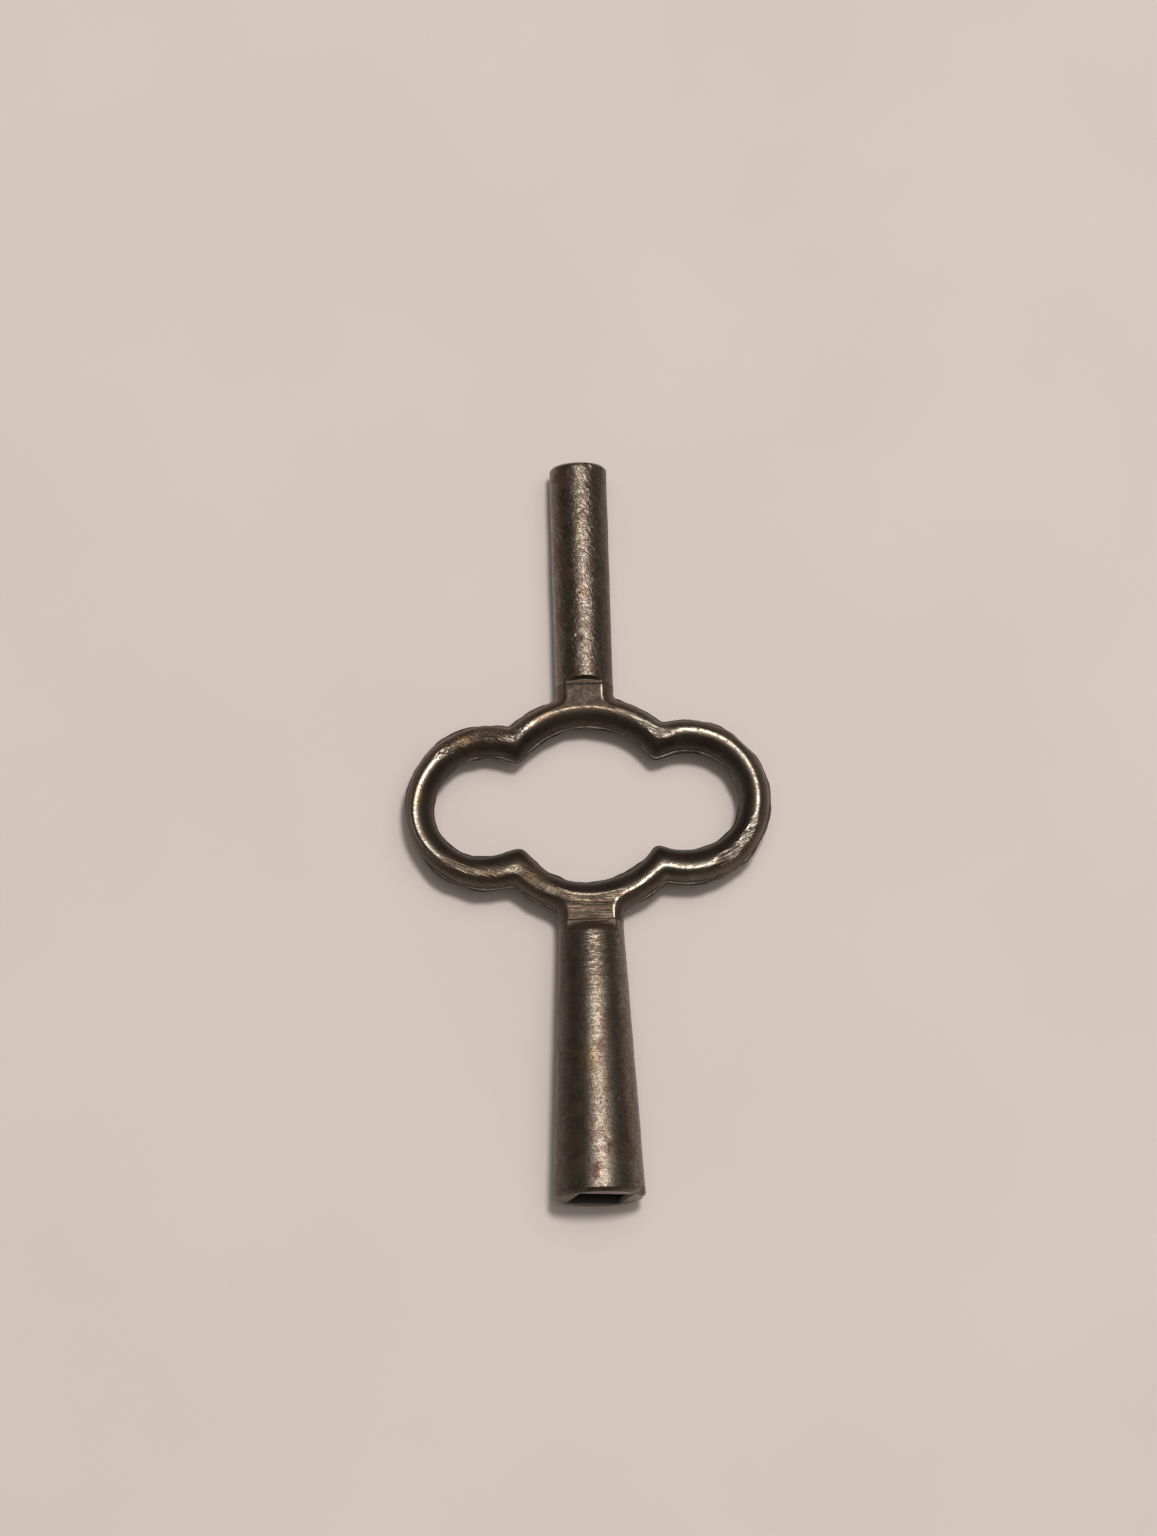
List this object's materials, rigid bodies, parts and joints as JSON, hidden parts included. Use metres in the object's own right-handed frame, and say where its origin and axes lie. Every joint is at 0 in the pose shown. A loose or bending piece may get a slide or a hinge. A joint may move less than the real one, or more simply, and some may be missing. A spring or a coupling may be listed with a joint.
{
  "type": "double clock key",
  "caption": "Double-ended clock key: a tapered winding pipe and a slim setting pipe, each with a square socket, joined by a cloud-shaped ring bow",
  "frame": {"origin": "centre of the winding pipe's mouth", "axes": "+Y along the axis of both pipes to the setting pipe's mouth, X across the bow, Z square to the bow's two faces"},
  "size_m": [0.0374, 0.0764, 0.0094],
  "materials": {
    "bow_steel": "dark burnished iron with a brown patina, brighter on its crowns, file marks at the cusps",
    "pipe_steel": "dark burnished steel with fine pits, scratches along the pipe and reddish patina patches",
    "braze_filler": "plain spelter, sealed inside the joint"
  },
  "bodies": {
    "root": {"bow": "bow_steel", "winding_pipe": "pipe_steel", "setting_pipe": "pipe_steel", "winding_braze": "braze_filler", "setting_braze": "braze_filler"}
  },
  "joints": []
}
